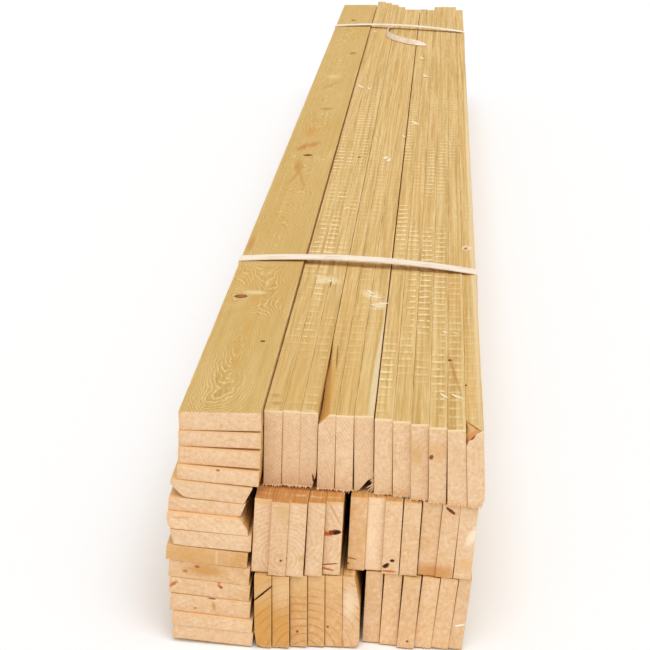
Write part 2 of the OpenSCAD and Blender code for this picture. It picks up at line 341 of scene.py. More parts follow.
def newMaterial(name):
    material = bpy.data.materials.new(name)
    material.use_nodes = True
    tree = material.node_tree
    tree.nodes.clear()
    shader = put(tree, "ShaderNodeBsdfPrincipled")
    output = put(tree, "ShaderNodeOutputMaterial")
    feed(output.inputs["Surface"], shader.outputs[0])
    return material, tree, shader


def pointInMm(tree):
    return put(tree, "ShaderNodeTexCoord").outputs["Object"] * (1.0 / mm)


def addMarks(point, base, marks):
    for mark in marks:
        mask = use(blotGroup, Point=point, Spot=mark["spot"], Reach=mark["reach"],
                   Turn=tuple(math.radians(angle) for angle in mark["turn"]),
                   Ragged=mark.get("ragged", 0.25), Soft=mark.get("soft", 0.25))["Mask"]
        base = tinted(base, mark["tint"], mask * mark.get("amount", 1.0))
    return base


def coat(shader, base, roughness, gloss, height=None, relief=0.0, strength=0.5):
    for label, value in (("Base Color", base), ("Roughness", roughness), ("Specular IOR Level", gloss)):
        feed(shader.inputs[label], value)
    if height is not None:
        values = {"Height": height, "Strength": strength, "Distance": relief}
        feed(shader.inputs["Normal"], put(height.tree, "ShaderNodeBump", values).outputs[0])


# each lath's own shade, the wood's gloss and its fine relief
def finishWood(shader, base, shade, height, s):
    light = shade * s["shading"] + 1.0
    base = mixed(1.0, base, joined(light, light, light), "MULTIPLY")
    coat(shader, base, s["roughness"], s["gloss"], height, s["relief"])


# end grain, paler than the sides, with rings and the cross-cut's mottle
endLook = {"pale": (233, 197, 157), "heart": (211, 155, 80), "ring": (188, 130, 70), "rim": (226, 176, 114),
           "speck": (214, 158, 100), "fluff": (250, 226, 196), "brow": (246, 222, 180), "browAmount": 0.8,
           "shading": 0.14, "roughness": 0.88, "gloss": 0.2, "relief": 0.3 * mm}


def endGrain(name, marks=(), brow=0.0):
    s = endLook
    material, tree, shader = newMaterial(name)
    point = pointInMm(tree)
    pithX, pithZ, pitch = attribute(tree, "board")
    shade, heart, _ = attribute(tree, "tone")
    ringAmount = attribute(tree, "rings")["X"]
    thin = attribute(tree, "seams")["Z"]
    localX, _, localZ = attribute(tree, "local")
    late = use(ringGroup, Point=point, Pith=joined(pithX, 0.0, pithZ), Pitch=pitch, Fade=0.45,
               Thin=thin)["Late"]
    cloud = noise(point * (0.09, 0.02, 0.09), 3.0, 0.6)
    fine = noise(point * 0.45, 3.0, 0.65)
    speck = noise(point * 1.5, 3.0, 0.75)
    drift = cloud + fine * 0.6 - 0.8
    heartSpread = ease(heart + drift * 0.6, -0.1, 1.1)
    base = layered(colour(*s["pale"]), s, heart=heartSpread, ring=late * ringAmount)
    sapwood = heartSpread * -0.85 + 1.0
    for mottle, dark, pale in ((fine, 0.4, 0.3), (speck, 0.4, 0.35)):
        base = layered(base, s, speck=ease(mottle, 0.5, 0.72) * dark,
                       fluff=ease(mottle, 0.5, 0.3) * (sapwood * pale))
    edge = ease(calc("MAXIMUM", abs(localX), abs(localZ)), 0.9, 1.0)
    base = layered(base, s, rim=edge * 0.45)
    if brow:   # torn pale fibres under the upper arris
        torn = ease(speck * 0.12 + localZ, 0.98, 1.04)
        base = layered(base, s, brow=torn * brow)
    base = addMarks(point, base, marks)
    finishWood(shader, base, shade, speck + (late * 0.3 + fine), s)
    return material


# sawn long faces
faceLook = {"straw": (219, 184, 119), "deep": (194, 153, 84), "pale": (232, 203, 146), "ring": (190, 142, 72),
            # crest is a painted highlight and trough a painted shadow on the saw's ridges
            "crest": (246, 224, 176), "trough": (190, 150, 84), "wane": (208, 152, 80),
            "heart": (188, 116, 52), "dark": (168, 124, 62), "fluff": (244, 219, 168),
            "warm": (224, 176, 106), "amber": (203, 156, 78), "seam": (182, 92, 40), "arris": (240, 214, 162),
            "figure": (202, 166, 93), "line": (237, 213, 158), "vein": (184, 134, 66),
            "bare": (236, 194, 142), "shading": 0.1, "roughness": 0.82, "gloss": 0.25, "relief": 0.35 * mm}
sideShare = 0.995   # from here outward a place lies on a lath's side


def sawnFace(name, marks=(), figure=None):
    s = faceLook
    material, tree, shader = newMaterial(name)
    point = pointInMm(tree)
    pithX, pithZ, pitch = attribute(tree, "board")
    shade, _, seed = attribute(tree, "tone")
    phase, strength, patchSeed = attribute(tree, "saw")
    _, ringAmount, heart = attribute(tree, "rings")
    waneAmount, bare, _ = attribute(tree, "wane")
    localX, localY, localZ = attribute(tree, "local")
    seamShadeLow, seamShadeHigh, _ = attribute(tree, "seams")
    streak, fibre, cloud = use(grainGroup, Point=point, Seed=seed)
    late = use(ringGroup, Point=point, Pith=joined(pithX, 0.0, pithZ), Pitch=pitch, Wander=9.0,
               Fade=0.4)["Late"]
    sawn = use(sawGroup, Point=point, Phase=phase, Seed=patchSeed, Strength=strength)
    base = layered(colour(*s["straw"]), s, deep=ease(streak, 0.42, 0.72), pale=ease(streak, 0.5, 0.28) * 0.8)
    if figure:
        arch = use(archGroup, **{"Point": point, "Axis": figure["axis"], "Pitch": figure["pitch"],
                                 "Knot A": figure["knots"][0], "Knot B": figure["knots"][1]})
        band, shown = arch["Band"], arch["Shown"]
        base = layered(base, s, figure=0.75, amber=ease(band, 0.5, 0.7) * 0.35,
                       pale=ease(band, 0.48, 0.3) * 0.2, vein=arch["Dark"] * shown * 0.6,
                       line=arch["Pale"] * shown * 0.75)
    else:
        base = layered(base, s, ring=late * ringAmount)
    quiet = 0.4 if figure else 1.0
    across = ease(abs(localX + 0.12), 0.92, 0.62)
    # heart is the heartwood tone, and on the mid tier's tops also painted shade under the top tier
    base = layered(base, s, warm=ease(cloud, 0.48, 0.75) * (0.4 * quiet), heart=heart * 0.85,
                   wane=waneAmount * 0.9, dark=ease(fibre, 0.5, 0.78) * (0.55 * quiet),
                   fluff=ease(fibre, 0.5, 0.24) * (0.45 * quiet), trough=sawn["Trough Shadow"] * across * 0.5,
                   crest=sawn["Crest"] * across * 0.95)
    # pale upper arrises, partly wear and partly painted highlight, and a deep warm painted shade on the faces
    # that lie against a neighbour in a seam
    aside, away, above = (abs(v) for v in (localX, localY, localZ))
    # paler upper arrises: wear and painted highlight
    patchy = ease(noise(point * (0.3, 0.03, 0.3)), 0.45, 0.62)
    arrisWearAndHighlight = ease(aside, 0.84, 0.97) * ease(above, 0.95, 0.99) * patchy
    inside = calc("MAXIMUM", (localX < -sideShare) * seamShadeLow, (localX > sideShare) * seamShadeHigh)
    for limit in (ease(above, 1.0, 0.97), ease(away, 0.97, 0.9), 1.0 - waneAmount):
        inside = inside * limit
    # painted light: near the near end, the flats' broad faces show as narrow strips between the ends and are
    # painted pale as lit faces
    litStripMask = ease(localY, -0.93, -0.97) * bare * (aside > sideShare)
    base = layered(base, s, arris=arrisWearAndHighlight * 0.5, seam=inside * 0.85, bare=litStripMask * 0.9)
    base = addMarks(point, base, marks)
    finishWood(shader, base, shade, fibre + streak * 0.7, s)
    return material


# a board that neighbouring laths were ripped from: pith and ring pitch in millimetres,
# how strongly the rings show on ends and on faces, how much heartwood the faces show,
# how thin the rings' dark lines are, and how the saw's marks lie on it
def board(kind, first, last, pith, pitch, rings, thin=0.0, sawPhase=0.0, patchSeed=1.7):
    return {"laths": ["%s_%02d" % (kind, number) for number in range(first, last + 1)], "pith": pith,
            "pitch": pitch, "rings": rings, "thin": thin, "sawPhase": sawPhase, "patchSeed": patchSeed}


boards = [
    board("flat", 1, 1, (-62.0, 84.0), 3.4, (0.12, 0.75, 0.0)),
    board("flat", 2, 4, (-66.0, 40.0), 3.1, (0.12, 0.3, 0.1)),
    board("flat", 5, 8, (-95.0, 10.0), 2.6, (0.12, 0.3, 0.35)),
    board("flat", 9, 11, (-70.0, -40.0), 2.8, (0.2, 0.3, 0.4)),
    board("flat", 12, 14, (-20.0, -70.0), 2.5, (0.1, 0.3, 0.2)),
    board("top", 1, 6, (-42.0, 74.0), 1.45, (0.22, 0.2, 0.0)),
    board("top", 7, 12, (47.0, 101.2), 2.3, (0.11, 0.2, 0.0), sawPhase=0.37, patchSeed=3.3),
    # on the mid tier the faces' heartwood amount also paints the shade on its tops under the top tier's ends
    board("mid", 1, 3, (-19.3, 47.6), 2.0, (0.24, 0.2, 0.95)),
    board("mid", 4, 5, (-14.0, 58.0), 2.4, (0.18, 0.2, 0.85)),
    board("mid", 6, 11, (60.0, -60.0), 2.7, (0.06, 0.2, 0.6)),
    board("mid", 12, 12, (60.0, -60.0), 2.7, (0.06, 0.2, 0.15)),
    board("bottom", 1, 6, (-6.4, -2.0), 4.0, (0.75, 0.2, 0.3), thin=0.9),
    board("bottom", 7, 12, (110.0, -30.0), 2.8, (0.05, 0.2, 0.2)),
]
# how much each lath is lighter or darker than the rest, from -1 to 1, and its end's share of heartwood
shades = {"flat_07": 0.3, "mid_05": 0.15, "mid_06": 0.3, "bottom_08": 0.35, "bottom_10": 0.2,
          "bottom_12": -0.2, "flat_09": -0.3, "flat_10": -0.1, "flat_12": -0.1, "mid_02": -0.2, "mid_07": 0.5,
          "mid_01": -0.05, "mid_12": 0.1, "top_05": 0.1, "bottom_01": -0.15, "bottom_06": -0.1}
hearts = {"flat": (0.0, 0.0, 0.1, 0.0, 0.0, 0.0, 0.0, 0.0, 0.65, 0.35, 0.25, 0.15, 0.1, 0.1),
          "top": (-0.1, -0.1, -0.1, -0.1, -0.15, -0.15, 0.05, 0.1, 0.14, 0.14, 0.05, 0.05),
          "mid": (0.0, 0.25, 0.0, 0.0, 0.08, 0.52, -0.3, 0.2, 0.25, 0.3, 0.25, 0.12),
          "bottom": (1.0, 0.92, 0.72, 0.68, 0.6, 0.38, 0.3, 0.33, 0.33, 0.28, 0.28, 0.25)}
# depth of the saw's marks on the narrow edges, as a share
sawShares = {"flat": (0.0,) * 14, "mid": (0.4,) * 12, "bottom": (0.4,) * 12,
             "top": (1.0, 1.0, 0.75, 0.25, 0.35, 0.15, 1.0, 0.9, 1.0, 0.75, 0.45, 0.2)}


# a lath: a closed box with eased arrises, sawn relief and wanes, in metres
onFace, endFacing, waneBlend = 0.9995, 0.8, 0.4 * mm
lathLook = {"arris": 0.3 * mm, "easing": 0.2, "wander": 0.04 * mm, "sawDepth": 0.25 * mm,
            "sawPitch": 9.7 * mm, "smoothAngle": math.radians(28),
            "shadeSpread": 0.12, "phaseSpread": 0.05, "seedSpread": 50.0}
# each lath on edge swells by this many millimetres towards a neighbour, which closes the seam to a hairline,
# but not where the seam after it is open
swell = 0.11
openAfter = ("top_03", "mid_03", "mid_05", "mid_08", "bottom_01", "bottom_02", "bottom_03", "bottom_04",
             "bottom_06")
# swelling of its own, in millimetres: low side at foot and head, then high side at foot and head
ownSwell = {"top_01": (0.1, 0.5, 0.11, 0.11), "top_06": (0.11, 0.11, 0.9, 1.05),
            "top_07": (0.11, 0.11, 0.3, 0.28), "top_08": (0.3, 0.28, 0.11, 0.11),
            "top_09": (0.11, 0.11, 0.0, 0.12), "top_10": (0.0, 0.12, 0.11, 0.26),
            "top_11": (0.85, 0.28, 0.25, 0.11), "top_12": (0.2, 0.11, 0.0, 0.0),
            "mid_09": (0.2, 0.2, 0.0, 0.0), "mid_10": (0.2, 0.9, 0.11, 0.11),
            "bottom_08": (0.3, 0.3, 0.11, 0.11),
            "bottom_12": (0.11, -0.62, -0.72, -0.72)}


# a node that takes in a geometry and puts it out changed
def onMesh(kind, geometry, values=None, **settings):
    return put(geometry.tree, "GeometryNode" + kind, {0: geometry, **(values or {})}, **settings).outputs[0]


def dressed(geometry, material, selection=True):
    return onMesh("SetMaterial", geometry, {"Material": material, "Selection": selection})


def named(tree, name, kind):
    return put(tree, "GeometryNodeInputNamedAttribute", {"Name": name}, data_type=kind).outputs[0]


def stored(geometry, name, value, kind="FLOAT_VECTOR"):
    return onMesh("StoreNamedAttribute", geometry, {"Name": name, "Value": value}, data_type=kind)


def makeLathTree():
    tree, given, out = newGroup("sawnLath", {
        "Thickness": 8 * mm, "Length": 1.2, "Width": 38 * mm, "Thickness Steps": 6, "Length Steps": 100,
        "Width Steps": 9, "Arris": 0.3 * mm, "Easing": 0.5, "Wander": 0.1 * mm, "Saw Depth": 0.2 * mm,
        "Saw Pitch": 9.7 * mm, "Saw Phase": 0.0, "Patch Seed": 0.0, "Seed": 0.0, "Turn": 0.0,
        "Place": "Vector", "Wane Point A": "Vector", "Wane Facing A": "Vector", "Wane Point B": "Vector",
        "Wane Facing B": "Vector", "Board": "Vector", "Tone": "Vector", "Saw": "Vector", "Rings": "Vector",
        "Seams": "Vector", "Lit Strip": 0.0, "Low Foot": 0.0, "Low Head": 0.0, "High Foot": 0.0, "High Head": 0.0,
        "Smooth Angle": 0.5, "Face Material": "Material", "End Material": "Material"}, ["Geometry"])
    size = joined(given["Thickness"], given["Length"], given["Width"])
    block = put(tree, "GeometryNodeMeshCube", {"Size": size, "Vertices X": given["Thickness Steps"],
                "Vertices Y": given["Length Steps"], "Vertices Z": given["Width Steps"]}).outputs["Mesh"]
    half = size * 0.5
    position = put(tree, "GeometryNodeInputPosition").outputs[0]

    # bring the outer rows close to the arrises
    share = apart(position / half)
    halfOf = apart(half)
    spread = []
    for axis, steps in (("X", "Thickness Steps"), ("Y", "Length Steps"), ("Z", "Width Steps")):
        inner = 1.0 - 2.0 / (given[steps] - 1.0)
        reach = abs(share[axis])
        flatPart = calc("MINIMUM", reach / inner, 1.0)
        rimPart = calc("MAXIMUM", reach - inner, 0.0) / (1.0 - inner)
        inside = halfOf[axis] - given["Arris"]
        away = flatPart * inside + rimPart * given["Arris"]
        spread.append(away * calc("SIGN", share[axis]))
    spaced = onMesh("SetPosition", block, {"Position": joined(*spread)})
    kept = stored(spaced, "local", position / half)

    # relief of the saw, wander of the faces and worn arrises, all inward
    nx, ny, nz = apart(named(tree, "local", "FLOAT_VECTOR"))
    onX, onY, onZ = (abs(n) > onFace for n in (nx, ny, nz))
    along = apart(position)["Y"] + apart(given["Place"])["Y"]
    seedAt = joined(given["Seed"], along * 14.0, nz * 0.8)
    slow = noise(seedAt)
    roughAt = joined(nx * 1.3 + given["Seed"], along * 160.0, nz * 1.7)
    worn = ease(noise(roughAt, 3.0, 0.7), 0.35, 0.7)
    turns = along / given["Saw Pitch"] + given["Saw Phase"]
    swing = calc("COSINE", turns * fullTurn) * -0.5 + 0.5
    patchAt = joined(apart(given["Place"])["X"] * 50.0, along * 12.0, given["Patch Seed"])
    patch = ease(noise(patchAt), 0.4, 0.62)
    sawn = swing * patch * given["Saw Depth"]
    sink = slow * given["Wander"]
    corner = onX * onZ
    rounding = given["Arris"] * given["Easing"] * (worn * 1.2 + 0.3)
    cornerIn = corner * rounding
    inX = onX * sink + cornerIn
    inZ = onZ * (sink + sawn) + cornerIn
    rim = onY * calc("MAXIMUM", onX, onZ)
    inY = rim * rounding
    pull = joined(*(calc("SIGN", n) * (amount * -1.0) for n, amount in ((nx, inX), (ny, inY), (nz, inZ))))
    headShare = nz * 0.5 + 0.5
    grown = 0.0
    for side, way in (("Low", -0.5), ("High", 0.5)):
        rise = given[side + " Head"] - given[side + " Foot"]
        reach = rise * headShare + given[side + " Foot"]
        grown = grown + reach * (nx * 0.5 + way)
    offset = pull + joined(grown, 0.0, 0.0)
    shaped = onMesh("SetPosition", kept, {"Offset": offset})
    turned = joined(0.0, given["Turn"], 0.0)
    moved = onMesh("Transform", shaped, {"Translation": given["Place"], "Rotation": turned})

    # wanes: what lies beyond a wane's plane is drawn back to it
    waned = None
    for letter in "AB":
        facing = given["Wane Facing " + letter]
        beyond = vec("DOT_PRODUCT", position - given["Wane Point " + letter], facing)
        past = calc("MAXIMUM", beyond, 0.0)
        noted = stored(moved, "cut" + letter, ease(past, 0.0, waneBlend), "FLOAT")
        back = facing * (past * -1.0)
        moved = onMesh("SetPosition", noted, {"Offset": back})
        cut = named(tree, "cut" + letter, "FLOAT")
        waned = cut if waned is None else calc("MAXIMUM", waned, cut)
    for name, value in (("wane", joined(waned, given["Lit Strip"], 0.0)), ("board", given["Board"]),
                        ("tone", given["Tone"]), ("saw", given["Saw"]), ("rings", given["Rings"]),
                        ("seams", given["Seams"])):
        moved = stored(moved, name, value)
    soft = onMesh("SetShadeSmooth", moved, {"Shade Smooth": True}, domain="FACE")
    sharp = put(tree, "GeometryNodeInputMeshEdgeAngle").outputs[0] > given["Smooth Angle"]
    crisp = onMesh("SetShadeSmooth", soft, {"Selection": sharp, "Shade Smooth": False}, domain="EDGE")
    faces = dressed(onMesh("RealizeInstances", crisp), given["Face Material"])
    isEnd = abs(apart(put(tree, "GeometryNodeInputNormal").outputs[0])["Y"]) > endFacing
    feed(out["Geometry"], dressed(faces, given["End Material"], isEnd))
    return tree


lathTree = makeLathTree()


def floats(values):
    return [float(value) for value in values]


# turns a geometry node tree with these inputs into a plain mesh object
def growPiece(name, tree, values, source=None):
    holder = newObject(name + ".grow", source or bpy.data.meshes.new(name + ".grow"))
    modifier = holder.modifiers.new("grow", "NODES")
    modifier.node_group = tree
    sockets = {item.name: item.identifier for item in tree.interface.items_tree
               if item.item_type == "SOCKET" and item.in_out == "INPUT"}
    for label, value in values.items():
        modifier[sockets[label]] = value
    mesh = evaluated(holder)
    bpy.data.objects.remove(holder)
    mesh.name = name
    return newObject(name, mesh)


lengthwise = np.array((0, 1, 0))
# limits in reading a solid's faces: area of a sliver, then shares of a direction
sliver, acrossShare, squareShare, opposite, alike = 1e-10, 0.3, 0.998, -0.999, 0.9999


# reads a lath's section, place, wanes and split from its solid
def readLath(node):
    mesh = nodes[node].data
    points = np.array([v.co for v in mesh.vertices], float)
    mesh.calc_loop_triangles()
    corners = np.array([t.vertices for t in mesh.loop_triangles])
    a, b, c = (points[corners[:, i]] for i in range(3))
    cross = np.cross(b - a, c - a)
    area = np.linalg.norm(cross, axis=1) / 2
    keep = area > sliver
    facing, area, trios = cross[keep] / (2 * area[keep, None]), area[keep], points[corners][keep]
    across = np.abs(facing[:, 1]) < acrossShare
    widest = facing[across][np.argmax(area[across])]
    main = 0 if abs(widest[0]) > abs(widest[2]) else 2
    thick = widest if widest[main] > 0 else -widest
    thick[1] = 0
    thick /= np.linalg.norm(thick)
    wide = np.cross(thick, lengthwise)
    axes = (thick, lengthwise, wide)
    low, high = ([pick(points @ axis) for axis in axes] for pick in (np.min, np.max))
    middle = sum((l + h) / 2 * axis for l, h, axis in zip(low, high, axes))
    wanes, slot = [], []
    for n, trio in zip(facing, trios):
        if max(abs(n @ thick), abs(n @ wide), abs(n[1])) > squareShare:
            continue
        if any(n @ m < opposite for m in facing):   # two facing walls are a split, not a wane
            slot.append((n, trio))
            continue
        if not any(n @ m > alike for m, _ in wanes):
            wanes.append((n, trio[0]))
    size = [h - l for l, h in zip(low, high)]
    return {"thick": thick, "wide": wide, "axes": axes, "size": size, "middle": middle, "wanes": wanes,
            "slot": slot}


# cuts a lath's split out of its dressed mesh and fills in the attributes at the new corners
def cutSplit(piece, solid, values):
    facing = solid["slot"][0][0]
    corners = np.concatenate([trio for _, trio in solid["slot"]])
    axes, spans = (np.cross(lengthwise, facing), lengthwise, facing), []
    for axis, before, after in zip(axes, (2 * mm, 5 * mm, 0.0), (2 * mm, 0.0, 0.0)):   # past faces and end
        reach = corners @ axis
        spans.append((np.min(reach) - before, np.max(reach) + after))
    wedge = bmesh.new()
    bmesh.ops.create_cube(wedge, size=1.0)
    for vert in wedge.verts:
        vert.co = sum((Vector(axis) * (low + (share + 0.5) * (high - low))
                       for axis, (low, high), share in zip(axes, spans, vert.co)), Vector())
    tool = newObject("splitWedge", bpy.data.meshes.new("splitWedge"))
    wedge.to_mesh(tool.data)
    wedge.free()
    tool.data.materials.append(values["End Material"])
    cut = piece.modifiers.new("split", "BOOLEAN")
    cut.operation, cut.solver, cut.object = "DIFFERENCE", "EXACT", tool
    whole = piece.data
    piece.data = evaluated(piece)
    piece.modifiers.clear()
    bpy.data.objects.remove(tool)
    bpy.data.meshes.remove(whole)
    mesh = piece.data
    mesh.name = piece.name
    points = np.array([v.co for v in mesh.vertices], float) - solid["middle"]
    halves = zip(solid["axes"], solid["size"])
    shares = np.stack([points @ axis / (span / 2) for axis, span in halves], axis=1)
    for name in ("board", "tone", "saw", "rings", "seams"):
        mesh.attributes[name].data.foreach_set("vector", np.tile(values[name.capitalize()], len(points)))
    mesh.attributes["local"].data.foreach_set("vector", np.clip(shares, -1, 1).ravel())


# rows of corners over the thickness, length and width
detail = {"top": (6, 640, 9), "flat": (5, 170, 8), "mid": (5, 80, 8), "bottom": (5, 80, 8)}
finer = {"flat_01": (4, 640, 16), "mid_12": (5, 260, 9), "bottom_12": (5, 260, 9), "top_04": (9, 640, 17),
         "top_12": (8, 640, 13), "flat_05": (7, 170, 16), "flat_06": (7, 170, 16), "flat_07": (7, 170, 16),
         "bottom_06": (9, 90, 21), "top_06": (9, 640, 13), "top_03": (8, 640, 11)}

# knots, stains, cracks and chips, each at a place and of a reach in millimetres
deepAlong, deepDown = 25.0, 6.0
nearEnds, topLevel, midLevel, breakTip, wholeLength = -622.0, 116.0, 77.6, -47.5, 640.0


def onEnd(x, z, wide, high, tint, tip=0.0, **more):   # on a near end, tipped clockwise
    return dict(spot=(x, nearEnds, z), reach=(wide, deepAlong, high), turn=(0.0, -tip, 0.0), tint=tint,
                **more)


def onTop(x, y, wide, long, tint, tip=0.0, level=topLevel, **more):   # on an upper face
    return dict(spot=(x, y, level), reach=(wide, long, deepDown), turn=(0.0, 0.0, tip), tint=tint, **more)


def seamShadeLine(x, wide, tint=(150, 72, 32)):   # painted shade, a dark line along a whole seam
    return onTop(x, 0.0, wide, wholeLength, tint, ragged=0.3, soft=0.5)


def onBreak(x, z, wide, high, deep, tint, **more):   # along the broken corner's rim
    return dict(onEnd(x, z, wide, high, tint, breakTip, **more), reach=(wide, deep, high))


darkKnot, amber, rust, amberStain = (72, 28, 16), (205, 138, 66), (150, 72, 34), (206, 158, 82)
tornPale, stripPale, lineBrown = (242, 221, 178), (230, 208, 166), (190, 132, 62)
palePatch = onTop(-15.5, -423.5, 7.0, 6.0, (240, 217, 170), 35, ragged=0.9, soft=0.4, amount=0.7)
tornA = onTop(10.6, -444.0, 4.6, 7.0, tornPale, -30, ragged=0.9, soft=0.5, amount=0.65)
tornB = onTop(15.6, -460.5, 3.6, 6.0, tornPale, 20, ragged=0.9, soft=0.5, amount=0.65)
nearTan = onTop(-10.0, -570.0, 26.0, 90.0, (198, 154, 78), soft=0.9, amount=0.35)
# painted shade on the mid tier's tops, just under the top tier's near ends
shadeUnderTop = onTop(-12.0, -613.4, 26.0, 2.6, (124, 58, 30), 0, midLevel, ragged=0.5, soft=0.6, amount=0.8)
lowPale = onEnd(-5.4, 36.0, 16.0, 6.0, (232, 192, 136), soft=0.8, amount=0.6)
amberFoot = onEnd(52.6, 42.0, 9.0, 3.6, amber, soft=0.6, amount=0.75)
endMarks = {
    "mid_05": [
        onEnd(1.0, 60.8, 2.6, 1.1, (188, 98, 42), 8, soft=0.5),
        onEnd(4.6, 61.8, 3.2, 1.3, (140, 64, 32), -12, ragged=0.5),
        onEnd(5.9, 61.9, 1.9, 1.0, (64, 28, 16), -12, ragged=0.6),
        onEnd(3.0, 45.0, 4.2, 0.4, rust, -9, amount=0.9), onEnd(2.0, 42.4, 3.6, 0.6, (196, 112, 52), 10),
        onEnd(4.1, 72.0, 0.5, 7.0, (206, 156, 100), -28, soft=0.6, amount=0.7)],
    "mid_02": [
        onEnd(-19.3, 47.6, 0.6, 0.6, (108, 58, 26)), onEnd(-16.6, 49.0, 0.4, 0.4, (140, 80, 40)),
        onEnd(-17.9, 73.0, 5.0, 2.6, (222, 180, 128), soft=0.6, amount=0.8)],
    "mid_03": [onEnd(-8.4, 49.5, 3.2, 1.6, (216, 170, 110), -20, soft=0.7, amount=0.8)],
    "mid_01": [onEnd(-28.4, 75.5, 4.5, 1.2, (226, 180, 124), 4, soft=0.5, amount=0.9)],
    "mid_06": [onEnd(11.4, 42.6, 0.8, 0.6, rust), onEnd(13.0, 45.5, 2.6, 0.4, (176, 112, 50), 10)],
    "mid_07": [onEnd(21.6, 58.0, 5.0, 25.0, (250, 226, 194), soft=0.9, amount=0.3)],
    "mid_08": [
        onEnd(29.5, 43.6, 1.9, 1.1, darkKnot, -38, ragged=0.5),
        onEnd(32.3, 46.6, 1.1, 0.8, darkKnot, -20, ragged=0.5), onEnd(31.1, 40.9, 3.6, 0.5, (196, 110, 66))],
    "mid_10": [amberFoot],
    "mid_11": [amberFoot, onEnd(57.7, 74.5, 3.0, 0.8, (122, 62, 38), 36, ragged=0.5)],
    "mid_12": [
        onEnd(68.6, 62.0, 2.0, 5.0, (250, 232, 205), 20, soft=0.6, amount=0.8),
        onEnd(66.6, 47.0, 5.0, 3.0, (226, 178, 118), soft=0.7, amount=0.6)],
    "top_03": [onEnd(-7.0, 82.4, 0.5, 2.6, (120, 52, 32), -12, ragged=0.5)],
    "top_09": [onEnd(39.8, 100.0, 3.4, 4.2, (214, 168, 104), soft=0.7, amount=0.6)],
    "top_10": [
        onEnd(48.6, 103.5, 4.6, 4.6, (222, 172, 108), soft=0.5, amount=0.5),
        onEnd(46.8, 101.0, 0.9, 1.2, (142, 82, 42), 20)],
    "flat_04": [onEnd(-50.3, 89.4, 1.0, 0.8, (178, 112, 62), 20, soft=0.4)],
    "flat_07": [
        onEnd(-37.8, 67.4, 1.6, 0.8, (198, 122, 52), soft=0.5),
        onEnd(-66.4, 65.4, 4.4, 0.5, (212, 160, 96), -4, soft=0.6, amount=0.8)],
    "flat_09": [
        onEnd(-61.5, 46.0, 11.0, 5.0, (216, 168, 100), soft=0.4, ragged=0.5, amount=0.55),
        onEnd(-49.3, 46.2, 0.6, 5.0, (232, 196, 148), soft=0.5, amount=0.8)],
    "flat_10": [
        onEnd(-54.6, 38.8, 9.0, 3.0, (206, 150, 80), 3, soft=0.5, amount=0.8),
        onEnd(-58.4, 40.4, 1.2, 0.7, (190, 92, 44), soft=0.5),
        onEnd(-64.0, 37.6, 1.2, 0.8, (196, 116, 62), soft=0.6)],
    "flat_11": [
        onEnd(-47.4, 34.0, 0.8, 2.6, (198, 116, 60), 20, soft=0.5),
        onEnd(-47.4, 30.9, 1.4, 0.8, (206, 120, 90), 25, soft=0.4), onEnd(-46.9, 30.3, 0.7, 0.5, rust),
        onEnd(-69.4, 30.4, 2.4, 0.9, (186, 122, 70), -40, soft=0.5)],
    "flat_12": [
        onEnd(-51.1, 24.4, 2.0, 0.45, (120, 56, 34), 4),
        onEnd(-50.0, 20.2, 0.8, 2.4, (206, 152, 92), -12, soft=0.6),
        onEnd(-58.8, 18.6, 0.8, 0.6, (196, 132, 76), soft=0.5)],
    "bottom_01": [
        onEnd(-27.4, 31.0, 5.0, 8.0, (226, 190, 138), 20, soft=0.9, amount=0.5),
        # painted shade in the split: a dark line along its walls
        onEnd(-27.0, 29.8, 9.0, 0.5, (84, 44, 18), -46, soft=0.3)],
    "bottom_02": [lowPale, onEnd(-18.6, 30.0, 6.0, 7.5, (234, 200, 154), 15, soft=0.9, amount=0.6)],
    "bottom_03": [lowPale, onEnd(-10.2, 9.0, 0.6, 0.8, rust)],
    "bottom_04": [lowPale], "bottom_05": [lowPale, onEnd(4.0, 11.5, 0.6, 0.6, rust)],
    "bottom_09": [onEnd(42.1, 4.5, 0.7, 0.6, rust)],
    "bottom_06": [onEnd(13.6, 24.0, 3.0, 7.0, (248, 224, 190), soft=0.8, amount=0.7)],
    "bottom_12": [onEnd(66.5, 14.1, 2.4, 0.5, (252, 238, 212), -16)],
}
